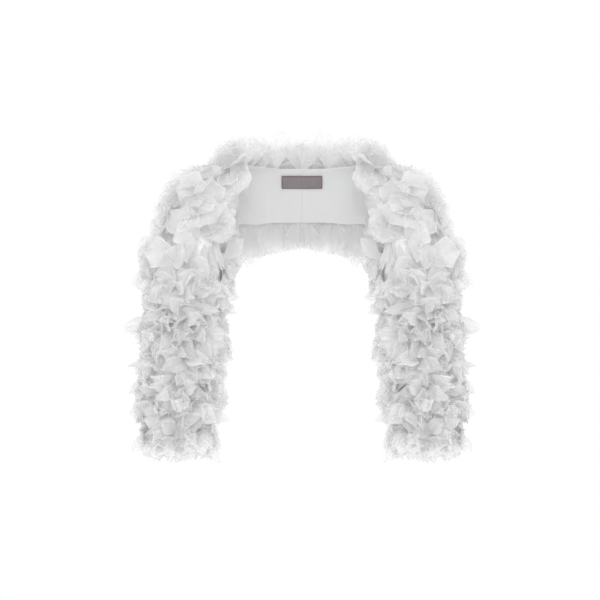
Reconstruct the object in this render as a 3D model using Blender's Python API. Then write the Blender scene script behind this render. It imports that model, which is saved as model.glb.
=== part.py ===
"""A petal-covered bolero: a short back, two crescent fronts and two three-quarter sleeves,
filled out as when worn.

Metres, +Z up. The front faces -Y and the wearer's left is +X. The origin lies midway between
the shoulders, on the line where the cloth rests on them.
"""

import math
import random
from collections import namedtuple

import bmesh
import bpy
import numpy as np

# Cloth and seams
CLOTH = 0.0015
LINING_CLOTH = 0.0010
LABEL_CLOTH = 0.0008
PETAL_CLOTH = 0.0012
SEAM_GAP = 0.0003
TRIM_GAP = 0.0006
SHARP_ANGLE = 40.0
CURVE_STEPS = 160

# Yoke sections, each an ellipse in an upright plane across the shoulders. Angles run from the
# shoulder top, positive down the back and negative down the front.
YokeSection = namedtuple("YokeSection", "x centre_y centre_z half_depth half_height hem_angle edge_angle")
YOKE = [
    YokeSection(0.000, 0.0100, -0.100, 0.0800, 0.125, 84.5, 35.0),
    YokeSection(0.045, 0.0100, -0.099, 0.0795, 0.119, 85.0, 31.0),
    YokeSection(0.078, 0.0090, -0.095, 0.0775, 0.105, 88.0, 17.0),
    YokeSection(0.094, 0.0080, -0.091, 0.0755, 0.097, 90.0, 0.0),
    YokeSection(0.110, 0.0070, -0.085, 0.0730, 0.086, 94.0, -42.0),
    YokeSection(0.127, 0.0055, -0.078, 0.0690, 0.071, 101.0, -78.0),
    YokeSection(0.140, 0.0045, -0.072, 0.0640, 0.061, 109.0, -100.0),
    YokeSection(0.150, 0.0040, -0.068, 0.0600, 0.054, 117.0, -117.0),
]
NECK_POINT = 3
BACK_COLUMNS = 30
BACK_ROWS = 8
FRONT_COLUMNS = 9
FRONT_ROWS = 3
FRONT_END = 0.6
FRONT_STRIP_PLACE = 0.5

# Sleeve sections from the armhole to the cuff, each an ellipse in a plane that turns from
# upright (tilt 0) to level (tilt 90).
SleeveSection = namedtuple("SleeveSection", "x y z tilt half_width half_depth")
SLEEVE = [
    SleeveSection(0.1500, 0.004, -0.0680, 0.0, 0.054, 0.060),
    SleeveSection(0.1640, 0.004, -0.0790, 19.5, 0.054, 0.059),
    SleeveSection(0.1770, 0.004, -0.1000, 43.0, 0.053, 0.058),
    SleeveSection(0.1865, 0.003, -0.1270, 68.0, 0.053, 0.057),
    SleeveSection(0.1920, 0.003, -0.1625, 86.0, 0.054, 0.056),
    SleeveSection(0.1960, 0.002, -0.2210, 90.0, 0.054, 0.055),
    SleeveSection(0.2025, 0.000, -0.3060, 90.0, 0.052, 0.053),
    SleeveSection(0.2090, -0.004, -0.3910, 90.0, 0.050, 0.050),
    SleeveSection(0.2120, -0.009, -0.4680, 90.0, 0.046, 0.047),
]
SLEEVE_COLUMNS = 20
ROW_PITCH = 0.045
FIRST_ROW = 0.012
SLEEVE_ROWS = 11
SHOULDER_ROWS = 3
SHOULDER_ARC_COLUMNS = 10

# Petal trim: a narrow strip sewn round the cloth, with petals that grow out of its outer face
STRIP_HEIGHT = 0.0036
STRIP_CLOTH = 0.0010
Petal = namedtuple("Petal", "length width lean_root lean_tip")
SLEEVE_LONG = Petal(0.052, 0.038, 42.0, 68.0)
SLEEVE_SHORT = Petal(0.038, 0.036, 18.0, 50.0)
SHOULDER_LONG = Petal(0.054, 0.040, 34.0, 60.0)
SHOULDER_SHORT = Petal(0.044, 0.038, 10.0, 38.0)
CUFF_PETAL = Petal(0.064, 0.036, 55.0, 84.0)
FRONT_PETAL = Petal(0.046, 0.032, 22.0, 52.0)

# Petal rows across the back: place from the neck edge (0) to the hem (1), the way the petals
# lean (1 towards the hem, -1 towards the neck) and how far the row reaches to each side.
BackRow = namedtuple("BackRow", "place way reach petal")
BACK_PETAL_ROWS = [
    BackRow(0.10, -1, 0.101, Petal(0.060, 0.027, 36.0, 58.0)),
    BackRow(0.36, -1, 0.141, Petal(0.044, 0.027, 8.0, 40.0)),
    BackRow(0.62, 1, 0.131, Petal(0.044, 0.027, 10.0, 36.0)),
    BackRow(0.90, 1, 0.111, Petal(0.078, 0.027, 40.0, 82.0)),
]
BACK_PETAL_STEP = 3
PETAL_SPAN = (0.28, 0.58, 0.84, 1.0)
PETAL_SHAPE = (0.86, 1.0, 0.68, 0.14)
LENGTH_SPREAD = 0.10
LEAN_SPREAD = 5.0
DRIFT_SPREAD = 0.05
ROLL_LEAST = 15.0
ROLL_MOST = 45.0
PETAL_SEED = 8

# Woven label, sewn on the lining below the neck edge
LABEL_WIDTH = 0.070
LABEL_TOP = -0.0072
LABEL_HEIGHT = 0.0215
LABEL_COLUMNS = 6
LABEL_ROWS = 2

WHITE_PETAL = ("petal_white", (0.86, 0.86, 0.86, 1.0), 0.75)
WHITE_BASE = ("base_white", (0.82, 0.82, 0.82, 1.0), 0.80)
WHITE_LINING = ("lining_white", (0.80, 0.80, 0.80, 1.0), 0.55)
LABEL_GREY = ("label_grey", (0.26, 0.23, 0.24, 1.0), 0.50)


def clear_scene():
    for obj in list(bpy.data.objects):
        bpy.data.objects.remove(obj)


def material(spec):
    name, colour, roughness = spec
    made = bpy.data.materials.get(name)
    if made is None:
        made = bpy.data.materials.new(name)
        made.use_nodes = True
        shader = made.node_tree.nodes["Principled BSDF"]
        shader.inputs["Base Color"].default_value = colour
        shader.inputs["Roughness"].default_value = roughness
        shader.inputs["Metallic"].default_value = 0.0
    return made


def add_object(name, bm, collection, spec):
    mesh = bpy.data.meshes.new(name)
    bm.to_mesh(mesh)
    bm.free()
    mesh.shade_smooth()
    mesh.set_sharp_from_angle(angle=math.radians(SHARP_ANGLE))
    mesh.materials.append(material(spec))
    obj = bpy.data.objects.new(name, mesh)
    collection.objects.link(obj)
    return obj


def section_at(table, place):
    """The table's columns at a fractional row, on a smooth curve through the rows."""
    rows = np.array(table, float)
    last = len(rows) - 1
    low = min(int(place), last - 1)
    t = place - low
    before, start, end, after = (rows[min(max(low + k, 0), last)] for k in (-1, 0, 1, 2))
    if low == 0:
        before = 2 * start - end
    if low == last - 1:
        after = 2 * end - start
    curve = 2 * start + (end - before) * t
    curve += (2 * before - 5 * start + 4 * end - after) * t**2
    curve += (3 * start - before - 3 * end + after) * t**3
    return type(table[0])(*(curve / 2))


def on_ellipse(centre, upward, half_up, half_depth, degrees):
    angle = math.radians(degrees)
    depth = np.array([0.0, 1.0, 0.0])
    return centre + upward * half_up * math.cos(angle) + depth * half_depth * math.sin(angle)


def yoke_point(side_place, degrees):
    """A point of the yoke: side_place is the section, negative to the wearer's right."""
    section = section_at(YOKE, abs(side_place))
    x = math.copysign(section.x, side_place)
    if abs(side_place) == len(YOKE) - 1:
        x -= math.copysign(SEAM_GAP / 2, side_place)
    centre = np.array([x, section.centre_y, section.centre_z])
    upward = np.array([0.0, 0.0, 1.0])
    return on_ellipse(centre, upward, section.half_height, section.half_depth, degrees)


def yoke_place_at(x):
    """The section place at a distance from the centre back, or at several."""
    steps = np.linspace(0, len(YOKE) - 1, CURVE_STEPS + 1)
    across = [section_at(YOKE, place).x for place in steps]
    return np.interp(x, across, steps)


def seam_angle(section):
    return math.degrees(SEAM_GAP / 2 / section.half_depth)


def back_grid(places):
    """Rows from the neck edge and shoulder seam down to the hem, columns from right to left."""
    grid = []
    for row in range(BACK_ROWS + 1):
        line = []
        for place in places:
            section = section_at(YOKE, abs(place))
            top = max(section.edge_angle, seam_angle(section))
            angle = top + (section.hem_angle - top) * row / BACK_ROWS
            line.append(yoke_point(place, angle))
        grid.append(line)
    return np.array(grid)


def front_grid(side):
    """Rows from the front edge to the armhole, columns from the shoulder seam down the edge."""
    last = len(YOKE) - 1
    grid = []
    for row in range(FRONT_ROWS + 1):
        line = []
        for edge_place in np.linspace(NECK_POINT, last - FRONT_END, FRONT_COLUMNS + 1):
            edge = section_at(YOKE, edge_place)
            place = edge_place + (last - edge_place) * row / FRONT_ROWS
            angle = min(edge.edge_angle, -seam_angle(edge))
            line.append(yoke_point(side * place, angle))
        grid.append(line)
    return np.array(grid)


def sleeve_lengths():
    """Running length down the outer line of the sleeve, with the section place at each step."""
    steps = np.linspace(0, len(SLEEVE) - 1, CURVE_STEPS + 1)
    outer = np.array([sleeve_point(place, 0.0) for place in steps])
    runs = np.linalg.norm(np.diff(outer, axis=0), axis=1)
    return np.concatenate([[0.0], np.cumsum(runs)]), steps


def sleeve_point(place, degrees):
    """A point of the wearer's left sleeve: 0 degrees is the outer line, 90 the back."""
    section = section_at(SLEEVE, place)
    tilt = math.radians(section.tilt)
    outward = np.array([math.sin(tilt), 0.0, math.cos(tilt)])
    centre = np.array([section.x, section.y, section.z])
    if place == 0:
        centre[0] += SEAM_GAP / 2
    return on_ellipse(centre, outward, section.half_width, section.half_depth, degrees)


def sleeve_grid(side):
    """Rows from the armhole to the cuff, one petal row in each cell, columns round the sleeve."""
    lengths, places = sleeve_lengths()
    edges = [FIRST_ROW + ROW_PITCH * (row + 0.5) for row in range(SLEEVE_ROWS - 1)]
    edges = [0.0] + edges + [lengths[-1]]
    grid = []
    for edge in edges:
        place = float(np.interp(edge, lengths, places))
        ring = [sleeve_point(place, 360.0 * k / SLEEVE_COLUMNS) for k in range(SLEEVE_COLUMNS)]
        grid.append(ring)
    grid = np.array(grid)
    grid[..., 0] *= side
    fractions = []
    for row in range(SLEEVE_ROWS):
        middle = FIRST_ROW + ROW_PITCH * row
        fractions.append((middle - edges[row]) / (edges[row + 1] - edges[row]))
    return grid, fractions


def grid_normals(grid, closed):
    """Unit normals from the rows' and columns' directions at each grid point."""
    down = np.gradient(grid, axis=0)
    if closed:
        across = np.roll(grid, -1, axis=1) - np.roll(grid, 1, axis=1)
    else:
        across = np.gradient(grid, axis=1)
    normals = np.cross(across, down)
    return normals / np.linalg.norm(normals, axis=2, keepdims=True)


def facing_out(grid, closed, inside):
    """The grid, with its columns turned round where its normals would face the point inside."""
    row, column = len(grid) // 2, len(grid[0]) // 2
    normal = grid_normals(grid, closed)[row, column]
    return grid if np.dot(normal, grid[row, column] - inside) > 0 else grid[:, ::-1]


def in_seam_plane(normals, axis):
    """The normals along a seam, turned into the seam's plane so that the cut edge stays in it."""
    flat = normals.copy()
    flat[..., axis] = 0.0
    return flat / np.linalg.norm(flat, axis=-1, keepdims=True)


def seams_parted(grid):
    """The grid, with its first and last columns drawn in by half a seam's gap."""
    parted = grid.copy()
    for edge, beside in ((0, 1), (-1, -2)):
        inwards = grid[:, beside] - grid[:, edge]
        parted[:, edge] += inwards / np.linalg.norm(inwards, axis=1, keepdims=True) * (SEAM_GAP / 2)
    return parted


def cloth_panel(name, inner, outer, closed, collection, spec):
    """A closed solid of cloth between an inner and an outer grid, with a rim along its edges."""
    bm = bmesh.new()
    inside = [[bm.verts.new(point) for point in line] for line in inner]
    outside = [[bm.verts.new(point) for point in line] for line in outer]
    rows, count = len(inside), len(inside[0])
    for k in range(count if closed else count - 1):
        after = (k + 1) % count
        for row in range(rows - 1):
            below = row + 1
            bm.faces.new((outside[row][k], outside[row][after], outside[below][after], outside[below][k]))
            bm.faces.new((inside[row][k], inside[below][k], inside[below][after], inside[row][after]))
        bm.faces.new((inside[0][k], inside[0][after], outside[0][after], outside[0][k]))
        bm.faces.new((outside[-1][k], outside[-1][after], inside[-1][after], inside[-1][k]))
    if not closed:
        for row in range(rows - 1):
            below = row + 1
            bm.faces.new((inside[row][0], outside[row][0], outside[below][0], inside[below][0]))
            bm.faces.new((outside[row][-1], inside[row][-1], inside[below][-1], outside[below][-1]))
    return add_object(name, bm, collection, spec)


def strip_solid(bm, lines, closed, petal_cells):
    """A narrow strip of cloth between two pairs of edge lines, open where a petal grows out of it.
    Returns its columns of four corners."""
    inner, outer = lines
    columns = []
    for k in range(len(inner[0])):
        corners = (inner[0][k], outer[0][k], outer[1][k], inner[1][k])
        columns.append([bm.verts.new(point) for point in corners])
    count = len(columns)
    for k in range(count if closed else count - 1):
        here, there = columns[k], columns[(k + 1) % count]
        for side in range(4):
            after = (side + 1) % 4
            if side != 1 or k not in petal_cells:
                bm.faces.new((here[side], here[after], there[after], there[side]))
    if not closed:
        bm.faces.new(columns[0][::-1])
        bm.faces.new(columns[-1])
    return columns


def grow_petal(bm, root, way, petal, dice):
    """Lofts a petal out of a strip. root has the four corners of the gap in the strip: the upper
    pair, then the lower pair the other way. The petal leans towards the lower pair, or away."""
    upper_left, upper_right, lower_right, lower_left = (vert.co for vert in root)
    along = (lower_left + lower_right - upper_left - upper_right) * way
    out = (upper_right - upper_left).cross(lower_left - upper_left).normalized()
    along = (along - out * along.dot(out)).normalized()
    side = out.cross(along)
    across = math.copysign(1, (upper_right - upper_left).dot(side))
    signs = ((-across, -way), (across, -way), (across, way), (-across, way))
    place = (upper_left + upper_right + lower_left + lower_right) / 4
    length = petal.length * (1 + dice.uniform(-LENGTH_SPREAD, LENGTH_SPREAD))
    lean_shift = dice.uniform(-LEAN_SPREAD, LEAN_SPREAD)
    drift = side * dice.uniform(-DRIFT_SPREAD, DRIFT_SPREAD)
    roll = math.radians(dice.uniform(ROLL_LEAST, ROLL_MOST)) * dice.choice((-1, 1))
    ring, reached = root, 0.0
    for span, share in zip(PETAL_SPAN, PETAL_SHAPE):
        lean = petal_lean(petal, (reached + span) / 2, lean_shift)
        heading = out * math.cos(lean) + along * math.sin(lean) + drift
        place = place + heading * (length * (span - reached))
        reached = span
        lean = petal_lean(petal, span, lean_shift)
        below_side = along * math.cos(lean) - out * math.sin(lean)
        half_width = side * math.cos(roll * span) + below_side * math.sin(roll * span)
        half_width *= petal.width * share / 2
        half_cloth = below_side * math.cos(roll * span) - side * math.sin(roll * span)
        half_cloth *= PETAL_CLOTH / 2
        section = []
        for sideways, below in signs:
            section.append(bm.verts.new(place + half_width * sideways + half_cloth * below))
        join_sections(bm, ring, section)
        ring = section
    bm.faces.new(ring)


def join_sections(bm, ring, section):
    """Four faces between two sections of a petal. Opposite faces split along matching diagonals,
    so that a thin petal keeps its thickness where it twists."""
    for here, there in ((0, 1), (1, 2)):
        bm.faces.new((ring[here], ring[there], section[there], section[here]))
    for here, there in ((2, 3), (3, 0)):
        bm.faces.new((ring[there], section[there], section[here], ring[here]))


def petal_lean(petal, span, shift):
    return math.radians(petal.lean_root + (petal.lean_tip - petal.lean_root) * span + shift)


def petal_row(name, lines, closed, petals, way, collection, dice):
    """A trim strip with petals. petals gives the column of each petal and its kind."""
    bm = bmesh.new()
    columns = strip_solid(bm, lines, closed, {k for k, petal in petals})
    for k, petal in petals:
        here, there = columns[k], columns[(k + 1) % len(columns)]
        grow_petal(bm, [here[1], there[1], there[2], here[2]], way, petal, dice)
    bmesh.ops.recalc_face_normals(bm, faces=bm.faces[:])
    return add_object(name, bm, collection, WHITE_PETAL)


def strip_lines(grid, normals, row, fraction, columns):
    """Inner and outer edge lines of a strip that lies on a panel, from the panel's outer points."""
    upper, lower = grid[row][columns], grid[row + 1][columns]
    drop = np.linalg.norm(lower - upper, axis=1).max()
    half = STRIP_HEIGHT / 2 / drop
    inner, outer = [], []
    for edge in (fraction - half, fraction + half):
        base = upper + (lower - upper) * edge
        normal = normals[row][columns] + (normals[row + 1][columns] - normals[row][columns]) * edge
        normal /= np.linalg.norm(normal, axis=1, keepdims=True)
        inner.append(base + normal * TRIM_GAP)
        outer.append(base + normal * (TRIM_GAP + STRIP_CLOTH))
    return inner, outer


def back_places():
    """Section places of the back's columns, evenly spaced across the shoulders."""
    half = yoke_place_at(np.linspace(0, YOKE[-1].x, BACK_COLUMNS // 2 + 1))
    return np.concatenate([-half[:0:-1], half])


def build_back(collection, dice):
    grid = back_grid(back_places())
    normals = grid_normals(grid, False)
    normals[:, [0, -1]] = in_seam_plane(normals[:, [0, -1]], 0)
    outer = grid + normals * CLOTH
    cloth_panel("back", grid, outer, False, collection, WHITE_BASE)
    for number, trim in enumerate(BACK_PETAL_ROWS, start=1):
        position = trim.place * BACK_ROWS
        row = min(int(position), BACK_ROWS - 1)
        used = [k for k in range(len(grid[0])) if abs(grid[0][k][0]) <= trim.reach]
        lines = strip_lines(outer, normals, row, position - row, used)
        first = (len(used) - 2) % BACK_PETAL_STEP // 2
        petals = [(k, trim.petal) for k in range(first, len(used) - 1, BACK_PETAL_STEP)]
        petal_row(f"petal_row_back_{number}", lines, False, petals, trim.way, collection, dice)


def build_lining(collection):
    """Two halves that lie just inside the back and meet at the centre-back seam."""
    places = back_places()
    grid = back_grid(places)
    normals = grid_normals(grid, False)
    normals[:, [0, -1]] = in_seam_plane(normals[:, [0, -1]], 0)
    middle = BACK_COLUMNS // 2
    halves = (("back_lining_right", slice(0, middle + 1), -1), ("back_lining_left", slice(middle, None), 1))
    for name, columns, side in halves:
        half_grid, half_normals = grid[:, columns].copy(), normals[:, columns]
        half_grid[:, -1 if side < 0 else 0, 0] = side * SEAM_GAP / 2
        inner = half_grid - half_normals * (SEAM_GAP + LINING_CLOTH)
        outer = half_grid - half_normals * SEAM_GAP
        cloth_panel(name, inner, outer, False, collection, WHITE_LINING)


def build_label(collection):
    """The label follows the lining at the centre back, moved in towards the wearer."""
    grid = []
    for z in np.linspace(LABEL_TOP, LABEL_TOP - LABEL_HEIGHT, LABEL_ROWS + 1):
        line = []
        for x in np.linspace(-LABEL_WIDTH / 2, LABEL_WIDTH / 2, LABEL_COLUMNS + 1):
            place = yoke_place_at(abs(x))
            section = section_at(YOKE, place)
            angle = math.degrees(math.acos((z - section.centre_z) / section.half_height))
            line.append(yoke_point(math.copysign(place, x), angle))
        grid.append(line)
    grid = np.array(grid)
    normals = grid_normals(grid, False)
    lifted = SEAM_GAP + LINING_CLOTH + TRIM_GAP
    inner, outer = grid - normals * (lifted + LABEL_CLOTH), grid - normals * lifted
    cloth_panel("label", inner, outer, False, collection, LABEL_GREY)


def build_front(side, word, collection, dice):
    armhole = SLEEVE[0]
    grid = facing_out(front_grid(side), False, np.array([side * armhole.x, armhole.y, armhole.z]))
    normals = grid_normals(grid, False)
    normals[-1] = in_seam_plane(normals[-1], 0)
    outer = grid + normals * CLOTH
    cloth_panel(f"front_{word}", grid, outer, False, collection, WHITE_BASE)
    used = list(range(len(grid[0])))
    lines = strip_lines(outer, normals, FRONT_ROWS // 2, FRONT_STRIP_PLACE, used)
    petals = [(k, FRONT_PETAL) for k in range(0, len(used) - 1, 2)]
    petal_row(f"petal_row_front_{word}", lines, False, petals, -1, collection, dice)


def build_sleeve(side, word, collection, dice):
    grid, fractions = sleeve_grid(side)
    grid = facing_out(grid, True, grid[len(grid) // 2].mean(axis=0))
    normals = grid_normals(grid, True)
    normals[0] = in_seam_plane(normals[0], 0)
    normals[-1] = in_seam_plane(normals[-1], 2)
    outer = grid + normals * CLOTH
    outer_line = int(np.argmax(abs(grid[-1][:, 0])))
    quarter = SLEEVE_COLUMNS // 4
    for part, first in (("outer", outer_line - quarter), ("under", outer_line + quarter)):
        columns = [(first + k) % SLEEVE_COLUMNS for k in range(2 * quarter + 1)]
        inner_half, outer_half = seams_parted(grid[:, columns]), seams_parted(outer[:, columns])
        cloth_panel(f"sleeve_{word}_{part}", inner_half, outer_half, False, collection, WHITE_BASE)
    half_arc = SHOULDER_ARC_COLUMNS // 2
    for row in range(SLEEVE_ROWS):
        on_shoulder = row < SHOULDER_ROWS
        if on_shoulder:
            columns = [(outer_line + k) % SLEEVE_COLUMNS for k in range(-half_arc, half_arc + 1)]
        else:
            columns = list(range(SLEEVE_COLUMNS))
        lines = strip_lines(outer, normals, row, fractions[row], columns)
        kinds = (SHOULDER_LONG, SHOULDER_SHORT) if on_shoulder else (SLEEVE_LONG, SLEEVE_SHORT)
        if row == SLEEVE_ROWS - 1:
            kinds = (CUFF_PETAL, CUFF_PETAL)
        cells = len(columns) - 1 if on_shoulder else len(columns)
        petals = [(k, kinds[(k // 2) % 2]) for k in range(row % 2, cells, 2)]
        name = f"petal_row_{word}_{row + 1:02d}"
        petal_row(name, lines, not on_shoulder, petals, 1, collection, dice)


def main():
    clear_scene()
    collection = bpy.data.collections.new("bolero")
    bpy.context.scene.collection.children.link(collection)
    dice = random.Random(PETAL_SEED)
    build_back(collection, dice)
    build_lining(collection)
    build_label(collection)
    for side, word in ((1, "left"), (-1, "right")):
        build_front(side, word, collection, dice)
        build_sleeve(side, word, collection, dice)
    garment = bpy.data.objects.new("bolero", None)
    for piece in collection.objects:
        piece.parent = garment
    collection.objects.link(garment)


main()
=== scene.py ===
import math

import bpy
import numpy as np
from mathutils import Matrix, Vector


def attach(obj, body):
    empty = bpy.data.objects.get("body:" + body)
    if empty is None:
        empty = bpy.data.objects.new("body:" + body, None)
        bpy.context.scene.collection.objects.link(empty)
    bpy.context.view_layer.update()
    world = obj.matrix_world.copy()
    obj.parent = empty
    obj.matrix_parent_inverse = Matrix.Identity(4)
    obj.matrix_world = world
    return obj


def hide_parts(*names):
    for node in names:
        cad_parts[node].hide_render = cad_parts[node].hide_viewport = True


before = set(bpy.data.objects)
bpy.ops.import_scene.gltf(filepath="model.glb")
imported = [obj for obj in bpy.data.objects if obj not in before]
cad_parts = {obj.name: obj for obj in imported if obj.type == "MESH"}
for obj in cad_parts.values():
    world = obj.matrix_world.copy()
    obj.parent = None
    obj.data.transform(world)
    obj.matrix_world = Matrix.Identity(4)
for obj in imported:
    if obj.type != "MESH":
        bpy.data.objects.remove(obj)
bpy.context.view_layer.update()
scene = bpy.context.scene
print("frame loaded,", len(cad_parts), "nodes")

# camera level with the middle of the garment, far enough off for a nearly flat view
cameraSet = dict(place=(-0.0034, -8.0, -0.221), viewWidth=1.02, sensor=36.0)
cameraData = bpy.data.cameras.new("camera")
cameraData.sensor_width = cameraSet["sensor"]
cameraData.lens = cameraSet["sensor"] * -cameraSet["place"][1] / cameraSet["viewWidth"]
camera = bpy.data.objects.new("camera", cameraData)
camera.location = cameraSet["place"]
camera.rotation_euler = (math.radians(90), 0, 0)
scene.collection.objects.link(camera)
scene.camera = camera


class Wire:
    # wraps an output socket, so that shader maths reads as plain expressions
    def __init__(self, tree, socket=None):
        self.tree = tree
        self.socket = socket

    def add(self, kind, settings=None, inputs=None, output=0):
        node = self.tree.nodes.new(kind)
        for key, setting in (settings or {}).items():
            setattr(node, key, setting)
        for key, given in (inputs or {}).items():
            if isinstance(given, Wire):
                self.tree.links.new(given.socket, node.inputs[key])
            else:
                node.inputs[key].default_value = given
        return Wire(self.tree, node.outputs[output] if len(node.outputs) else None)

    def out(self, key):
        return Wire(self.tree, self.socket.node.outputs[key])

    def math(self, operation, *given):
        return self.add("ShaderNodeMath", {"operation": operation}, dict(enumerate(given)))

    def __add__(self, other):
        return self.math("ADD", self, other)

    def __radd__(self, other):
        return self.math("ADD", other, self)

    def __sub__(self, other):
        return self.math("SUBTRACT", self, other)

    def __rsub__(self, other):
        return self.math("SUBTRACT", other, self)

    def __mul__(self, other):
        return self.math("MULTIPLY", self, other)

    def __rmul__(self, other):
        return self.math("MULTIPLY", other, self)

    def fract(self):
        return self.math("FRACT", self)

    def size(self):
        return self.math("ABSOLUTE", self)

    def sine(self):
        return self.math("SINE", self)

    def most(self, other):
        return self.math("MAXIMUM", self, other)

    def between(self, low, high):  # soft step from 0 at low to 1 at high
        given = {0: self, 1: low, 2: high, 3: 0.0, 4: 1.0}
        return self.add("ShaderNodeMapRange", {"interpolation_type": "SMOOTHSTEP"}, given)

    def mix(self, low, high):  # this wire as the share of the second colour
        return self.add("ShaderNodeMix", {"data_type": "RGBA"}, {0: self, 6: low, 7: high}, 2)

    def noise(self, scale, detail):  # this wire as the place
        return self.add("ShaderNodeTexNoise", {}, {"Vector": self, "Scale": scale, "Detail": detail})

    def bump(self, strength, distance):  # this wire as the height
        return self.add("ShaderNodeBump", {}, {"Strength": strength, "Distance": distance, "Height": self})


def newMaterial(name):
    material = bpy.data.materials.new(name)
    material.use_nodes = True
    material.node_tree.nodes.clear()
    return material, Wire(material.node_tree)


def plainFinish(start, given):
    face = start.add("ShaderNodeBsdfPrincipled", {}, given)
    start.add("ShaderNodeOutputMaterial", {}, {"Surface": face})


def uvMaterial(name):  # the material, a wire to start from, the place on the cloth and its two numbers
    material, start = newMaterial(name)
    place = start.add("ShaderNodeUVMap", {"uv_map": "UVMap"})
    parts = start.add("ShaderNodeSeparateXYZ", {}, {0: place})
    return material, start, place, parts, parts.out("Y")


# sheer petal cloth: the whole part of a UV numbers the petal, and the rest is the place on it;
# thin petals count from a higher row; the lighter rim colour is a painted highlight along each edge
organzaSet = dict(
    name="petal_organza", shade=(0.82, 0.82, 0.822, 1), light=(0.91, 0.91, 0.91, 1), through=0.48,
    behind=(0.92, 0.92, 0.92, 1), paintedRimHighlight=(0.97, 0.97, 0.97, 1), rimSide=(0.91, 0.98), rimEnd=(0.94, 0.99),
    rootSolid=0.84, tipSolid=0.56, endSolid=0.10, rimSolid=0.08, fray=0.12, streaks=0.14, uneven=0.26,
    threads=(110, 74), weave=0.10, creases=0.35, combing=0.9, depth=0.0016, rough=0.72, sheen=0.15,
    margin=0.1, inRow=40, thinRow=64, thinner=0.18,
)
# the same, softer and more sheer and with a fainter painted rim highlight, for the broad petals of the
# shoulders and fronts
softOrganzaSet = dict(
    organzaSet, name="petal_organza_soft", shade=(0.84, 0.84, 0.842, 1), tipSolid=0.44, rimSolid=0.04,
    paintedRimHighlight=(0.92, 0.92, 0.92, 1),
)


def makeOrganza(look):
    material, start, place, along, across = uvMaterial(look["name"])
    thin = across.between(look["thinRow"] - 0.05, look["thinRow"] + 0.05)
    inner = 1 / (1 - 2 * look["margin"])
    along, across = ((part.fract() - look["margin"]) * inner for part in (along, across))
    cell = start.add("ShaderNodeVectorMath", {"operation": "FLOOR"}, {0: place})
    tone = start.add("ShaderNodeTexWhiteNoise", {"noise_dimensions": "2D"}, {"Vector": cell})

    def drawnOut(wide, long, shift, detail):  # noise that runs along the petal, other on each
        spot = {0: across * wide, 1: along * long, 2: tone * shift}
        return start.add("ShaderNodeCombineXYZ", {}, spot).noise(1.0, detail)

    crease = drawnOut(6, 1.6, 60, 3.0)
    strands = drawnOut(11, 1.2, 90, 2.0)
    side = (across - 0.5).size() * 2
    rim = (side + strands * 0.06).between(*look["rimSide"])
    rim = rim.most((along + strands * 0.05).between(*look["rimEnd"]))
    frayed = (side + strands * 0.15).between(1.0, 1.12).most((along + strands * 0.3).between(1.04, 1.2))
    threads = (along * (2 * math.pi * look["threads"][0])).sine()
    threads = threads * (across * (2 * math.pi * look["threads"][1])).sine()
    height = crease * look["creases"] + strands * look["combing"] + threads * look["weave"]
    colour = (tone * 0.6 + crease * 0.4).mix(look["shade"], look["light"])
    # painted highlight: the rim's colour is lightened where the petal's edges would catch the light
    colour = rim.mix(colour, look["paintedRimHighlight"])
    given = {"Base Color": colour, "Roughness": look["rough"], "Normal": height.bump(0.5, look["depth"])}
    given.update({"Specular IOR Level": 0.12, "Sheen Weight": look["sheen"], "Sheen Roughness": 0.5})
    face = start.add("ShaderNodeBsdfPrincipled", {}, given)
    through = start.add("ShaderNodeBsdfTranslucent", {}, {"Color": look["behind"]})
    cloth = start.add("ShaderNodeMixShader", {}, {0: look["through"], 1: face, 2: through})
    clear = start.add("ShaderNodeBsdfTransparent")
    solid = look["rootSolid"] - along.between(0.25, 1.0) * (look["rootSolid"] - look["tipSolid"])
    solid = solid + rim * (1 - thin) * look["rimSolid"]
    solid = solid - thin * (along.between(0.7, 1.0) * look["endSolid"] + look["thinner"])
    solid = solid - frayed * look["fray"] + (tone - 0.5) * look["uneven"] + (crease - 0.5) * look["streaks"]
    shown = start.add("ShaderNodeMixShader", {}, {0: solid, 1: clear, 2: cloth})
    start.add("ShaderNodeOutputMaterial", {}, {"Surface": shown})
    return material


# plain woven cloths: the UV is in metres on the cloth
liningSet = dict(
    name="lining_satin", dark=(0.628, 0.630, 0.632, 1), light=(0.652, 0.654, 0.656, 1), pitch=0.0007,
    twill=1.0, rough=(0.42, 0.56), bump=0.00008, sheen=0.15,
)
baseSet = dict(
    name="base_cloth", dark=(0.72, 0.72, 0.72, 1), light=(0.80, 0.80, 0.80, 1), pitch=0.0009, twill=0.0,
    rough=(0.70, 0.85), bump=0.00015, sheen=0.25,
)


def makeWoven(look):
    material, start, place, along, across = uvMaterial(look["name"])
    turns = 2 * math.pi / look["pitch"]
    weave = ((along + across * look["twill"]) * turns).sine() * ((across * 0.5) * turns).sine()
    mottle, slub = place.noise(60.0, 4.0), place.noise(900.0, 2.0)
    colour = (mottle * 0.7 + slub * 0.3).mix(look["dark"], look["light"])
    low, high = look["rough"]
    bump = (weave * 0.6 + slub * 0.4).bump(0.6, look["bump"])
    given = {"Base Color": colour, "Roughness": low + mottle * (high - low), "Normal": bump}
    given.update({"Specular IOR Level": 0.35, "Sheen Weight": look["sheen"], "Sheen Roughness": 0.4})
    plainFinish(start, given)
    return material


# label ribbon: the UV runs 0 to 1 over the label
ribbonSet = dict(
    field=(0.18, 0.157, 0.175, 1), fieldLight=(0.22, 0.20, 0.217, 1), edge=(0.16, 0.07, 0.07, 1),
    edgeWide=0.0011, width=0.070, height=0.0215, ribs=46, warps=150,
)


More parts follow.
